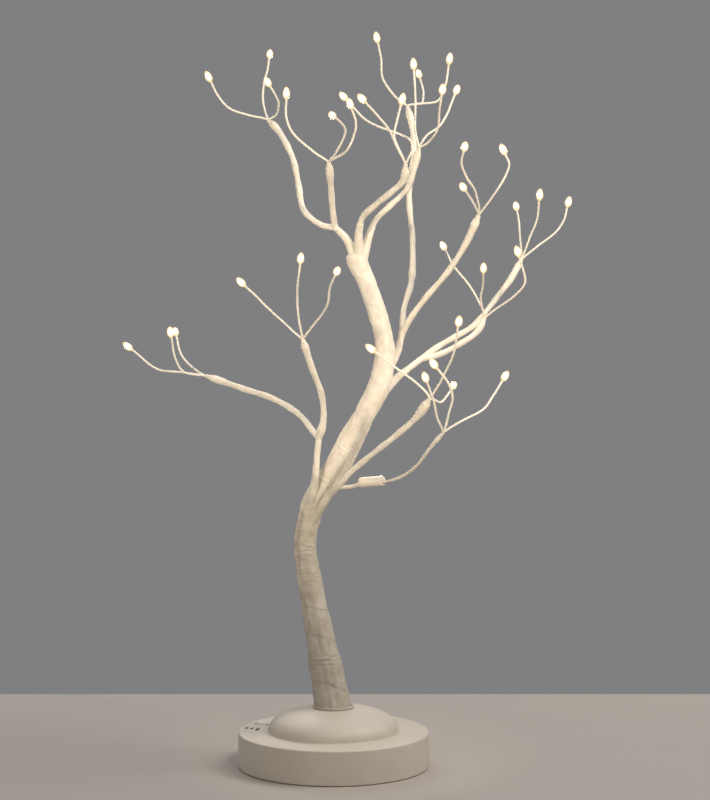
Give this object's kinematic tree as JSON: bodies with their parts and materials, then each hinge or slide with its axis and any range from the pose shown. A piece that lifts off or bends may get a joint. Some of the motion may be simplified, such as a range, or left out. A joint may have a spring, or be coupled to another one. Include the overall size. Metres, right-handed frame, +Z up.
{
  "type": "lighted tree",
  "caption": "Battery-lit table tree: paper-wrapped trunk and bendable limbs with drop-shaped lights on a round domed base with a slide switch.",
  "frame": {"origin": "middle of the flat underside of the base, on the surface that the tree stands on", "axes": "+Z up the tree; the pictured front looks along +Y, with +X to its right"},
  "size_m": [0.2921, 0.2238, 0.4624],
  "materials": {
    "ivory_plastic": "matte moulded ivory plastic",
    "paper_wrap": "matte crinkled ivory paper tape",
    "light_resin": "clear resin drop, lit warm white",
    "sleeve_plastic": "satin shrunk sleeve",
    "bright_steel": "bright plated steel",
    "armature_wire": "annealed steel wire bundle",
    "cell_wrap": "printed film wrap on a steel can",
    "board": "green solder mask on glass board"
  },
  "bodies": {
    "base": {"base_housing": "ivory_plastic", "base_floor": "ivory_plastic", "slide_switch": "bright_steel", "circuit_board": "board", "battery_1": "cell_wrap", "battery_2": "cell_wrap", "battery_3": "cell_wrap", "contact_plate": "bright_steel", "contact_double_1": "bright_steel", "contact_double_2": "bright_steel", "contact_spring": "bright_steel", "trunk": "paper_wrap", "armature": "armature_wire", "trunk_nut": "bright_steel"},
    "door": {"battery_door": "ivory_plastic"},
    "switch": {"switch_knob": "ivory_plastic"},
    "left": {"limb_left": "paper_wrap", "light_left_1": "light_resin", "light_left_2": "light_resin", "light_left_3": "light_resin", "light_left_4": "light_resin", "light_left_5": "light_resin", "light_left_6": "light_resin"},
    "top_left": {"limb_top_left": "paper_wrap", "light_top_left_1": "light_resin", "light_top_left_2": "light_resin", "light_top_left_3": "light_resin", "light_top_left_4": "light_resin", "light_top_left_5": "light_resin", "light_top_left_6": "light_resin"},
    "top_middle": {"limb_top_middle": "paper_wrap", "light_top_middle_1": "light_resin", "light_top_middle_2": "light_resin", "light_top_middle_3": "light_resin"},
    "top_right": {"limb_top_right": "paper_wrap", "light_top_right_1": "light_resin", "light_top_right_2": "light_resin", "light_top_right_3": "light_resin"},
    "right_upper": {"limb_right_upper": "paper_wrap", "light_right_upper_1": "light_resin", "light_right_upper_2": "light_resin", "light_right_upper_3": "light_resin", "light_right_upper_4": "light_resin", "light_right_upper_5": "light_resin", "light_right_upper_6": "light_resin"},
    "right_middle": {"limb_right_middle": "paper_wrap", "light_right_middle_1": "light_resin", "light_right_middle_2": "light_resin", "light_right_middle_3": "light_resin", "light_right_middle_4": "light_resin", "light_right_middle_5": "light_resin", "light_right_middle_6": "light_resin"},
    "right_lower": {"limb_right_lower": "paper_wrap", "splice_sleeve": "sleeve_plastic", "light_right_lower_1": "light_resin", "light_right_lower_2": "light_resin", "light_right_lower_3": "light_resin", "light_right_lower_4": "light_resin", "light_right_lower_5": "light_resin", "light_right_lower_6": "light_resin"}
  },
  "joints": [
    {"name": "door_hinge", "type": "hinge", "parent": "base", "child": "door", "pos_m": [0, 0.0042, 0.0012], "axis": [-1, 0, 0], "range_deg": [0, 90]},
    {"name": "switch_slide", "type": "slide", "parent": "base", "child": "switch", "axis": [-0.9135, 0.4067, 0], "range_m": [-0.0025, 0.0025]},
    {"name": "bend_left", "type": "hinge", "parent": "base", "child": "left", "pos_m": [-0.01101, -0.00801, 0.184], "axis": [0.1, 0.995, 0], "range_deg": [-25, 12]},
    {"name": "bend_top_left", "type": "hinge", "parent": "base", "child": "top_left", "pos_m": [0.00763, 0.00493, 0.33152], "axis": [0.41, 0.9121, 0], "range_deg": [-25, 15]},
    {"name": "bend_top_middle", "type": "hinge", "parent": "base", "child": "top_middle", "pos_m": [0.01591, -0.00175, 0.33466], "axis": [-0.9052, -0.4251, 0], "range_deg": [-25, 20]},
    {"name": "bend_top_right", "type": "hinge", "parent": "base", "child": "top_right", "pos_m": [0.02209, 0.00499, 0.33208], "axis": [-0.085, -0.9964, 0], "range_deg": [-25, 20]},
    {"name": "bend_right_upper", "type": "hinge", "parent": "base", "child": "right_upper", "pos_m": [0.0402, 0.00655, 0.261], "axis": [0.5708, -0.8211, 0], "range_deg": [-20, 15]},
    {"name": "bend_right_middle", "type": "hinge", "parent": "base", "child": "right_middle", "pos_m": [0.0415, 0.0049, 0.246], "axis": [0.6, -0.8, 0], "range_deg": [-25, 15]},
    {"name": "bend_right_lower", "type": "hinge", "parent": "base", "child": "right_lower", "pos_m": [-0.00165, -0.00763, 0.173], "axis": [-0.7101, -0.7041, 0], "range_deg": [-25, 12]}
  ]
}
